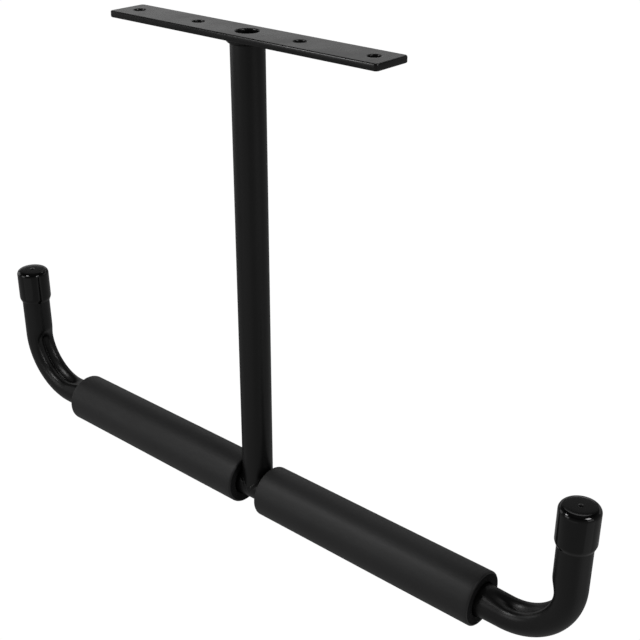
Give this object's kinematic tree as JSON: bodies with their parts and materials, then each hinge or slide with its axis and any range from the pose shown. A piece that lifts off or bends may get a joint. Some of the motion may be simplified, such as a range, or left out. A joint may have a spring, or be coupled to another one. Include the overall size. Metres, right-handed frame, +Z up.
{
  "type": "ceiling-mounted pull-up bar",
  "caption": "Inverted-T steel pull-up bar: a drilled plate screws to a joist, a round post drops to a cross tube with foam grips, upturned ends and push-on caps.",
  "frame": {"origin": "centre of the mounting plate's top face, the face that is screwed up against the joist", "axes": "+X along the plate and the bar, towards the right-hand grip; +Y across the plate, towards the back; +Z up, into the ceiling"},
  "size_m": [0.6132, 0.0434, 0.4017],
  "materials": {
    "powder_coat": "satin",
    "foam": "matte",
    "vinyl": "gloss"
  },
  "bodies": {
    "frame": {"mounting_plate": "powder_coat", "post_tube": "powder_coat", "cross_bar": "powder_coat", "weld_plate_to_post": "powder_coat", "weld_post_to_bar": "powder_coat"},
    "grip_left": {"foam_sleeve_left": "foam"},
    "grip_right": {"foam_sleeve_right": "foam"},
    "cap_left": {"end_cap_left": "vinyl"},
    "cap_right": {"end_cap_right": "vinyl"}
  },
  "joints": [
    {"name": "grip_left_twist", "type": "hinge", "parent": "frame", "child": "grip_left", "pos_m": [-0.1185, 0, -0.38], "axis": [1, 0, 0], "continuous": true},
    {"name": "grip_right_twist", "type": "hinge", "parent": "frame", "child": "grip_right", "pos_m": [0.12, 0, -0.38], "axis": [1, 0, 0], "continuous": true},
    {"name": "cap_left_pull", "type": "slide", "parent": "frame", "child": "cap_left", "axis": [0, 0, 1], "range_m": [0, 0.031]},
    {"name": "cap_right_pull", "type": "slide", "parent": "frame", "child": "cap_right", "axis": [0, 0, 1], "range_m": [0, 0.031]}
  ]
}
